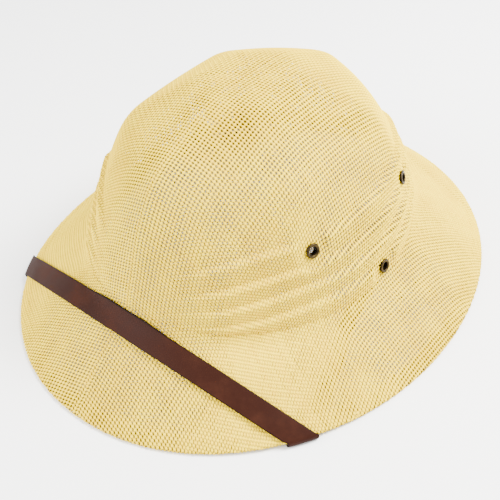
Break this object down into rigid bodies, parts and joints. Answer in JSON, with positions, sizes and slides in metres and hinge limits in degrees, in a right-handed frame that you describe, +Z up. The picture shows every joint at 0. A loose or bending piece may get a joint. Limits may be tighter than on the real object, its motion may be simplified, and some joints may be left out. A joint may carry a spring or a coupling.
{
  "type": "straw pith helmet",
  "caption": "Pressed woven-straw pith helmet: panelled crown with a tiered band, sloping oval brim with a turned hem, leather chin strap over the front brim, small metal vent eyelets.",
  "frame": {"origin": "on the floor, under the middle of the hat's box", "axes": "+Z up, -Y towards the front of the hat, +X towards the wearer's left"},
  "size_m": [0.278, 0.3252, 0.1361],
  "materials": {
    "straw": "woven paper straw, matt",
    "strap": "smooth brown leather, soft sheen",
    "eyelet": "dark antique bronze"
  },
  "bodies": {
    "root": {"helmet_shell": "straw", "chin_strap": "strap", "eyelet_left_front": "eyelet", "eyelet_left_rear": "eyelet", "eyelet_left_lower": "eyelet", "eyelet_right_front": "eyelet", "eyelet_right_rear": "eyelet", "eyelet_right_lower": "eyelet"}
  },
  "joints": []
}
